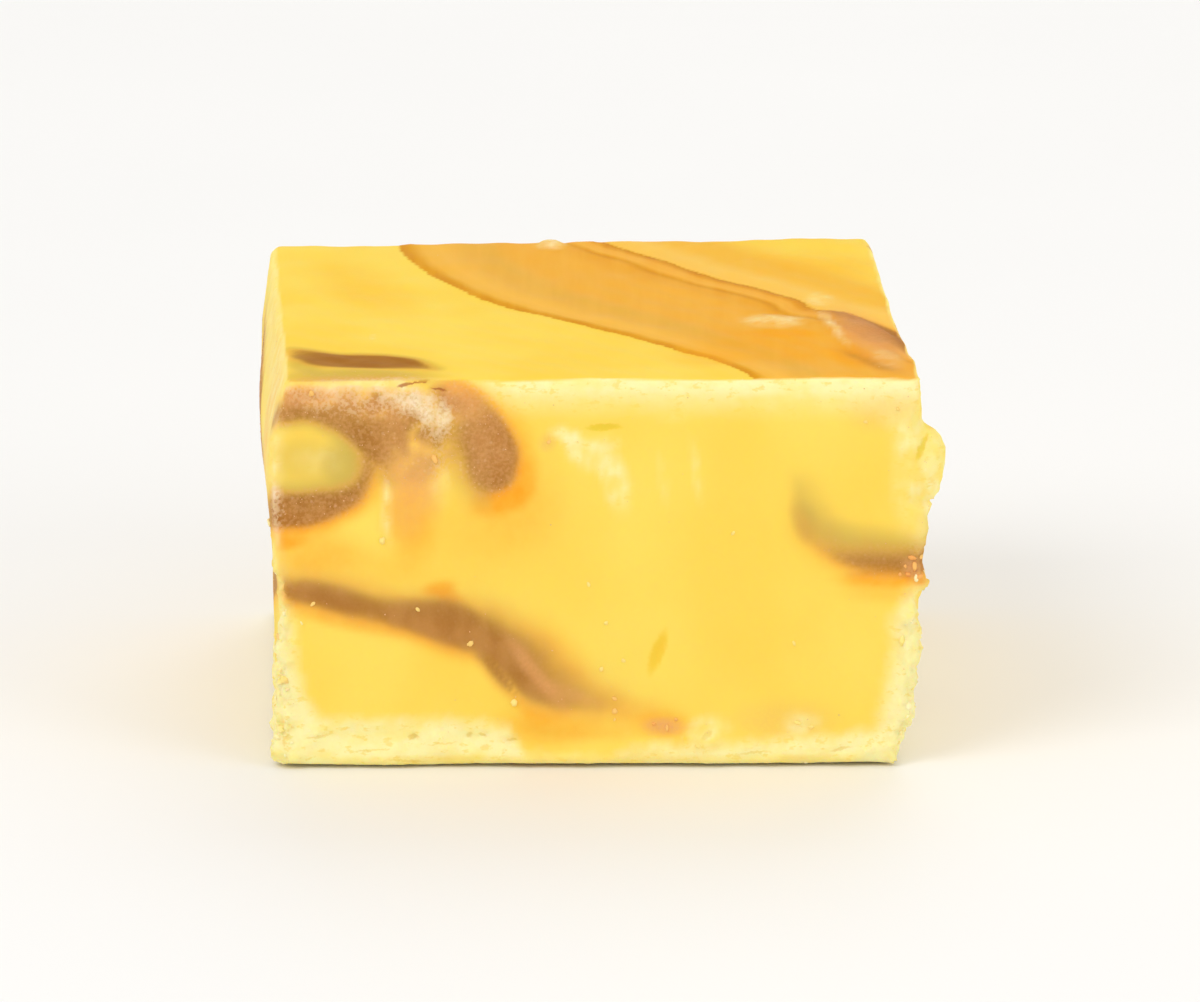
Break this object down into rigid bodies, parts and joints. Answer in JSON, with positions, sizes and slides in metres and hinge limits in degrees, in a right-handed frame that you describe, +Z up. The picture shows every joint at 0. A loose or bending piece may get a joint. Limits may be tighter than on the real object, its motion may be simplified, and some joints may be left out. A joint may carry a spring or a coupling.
{
  "type": "piece of fudge",
  "caption": "Hand-cut rectangular piece of marbled slab fudge with a smooth spread top, knife-cut sides and a crumbly foot.",
  "frame": {"origin": "middle of the foot's outline box, on the surface that the piece stands on", "axes": "+Z up; the marbled cut face that the picture shows looks along -Y; +X to its right, along the longest side"},
  "size_m": [0.0422, 0.0386, 0.024],
  "materials": {
    "fudge": "satin, soft and slightly translucent"
  },
  "bodies": {
    "root": {"fudge_piece": "fudge"}
  },
  "joints": []
}
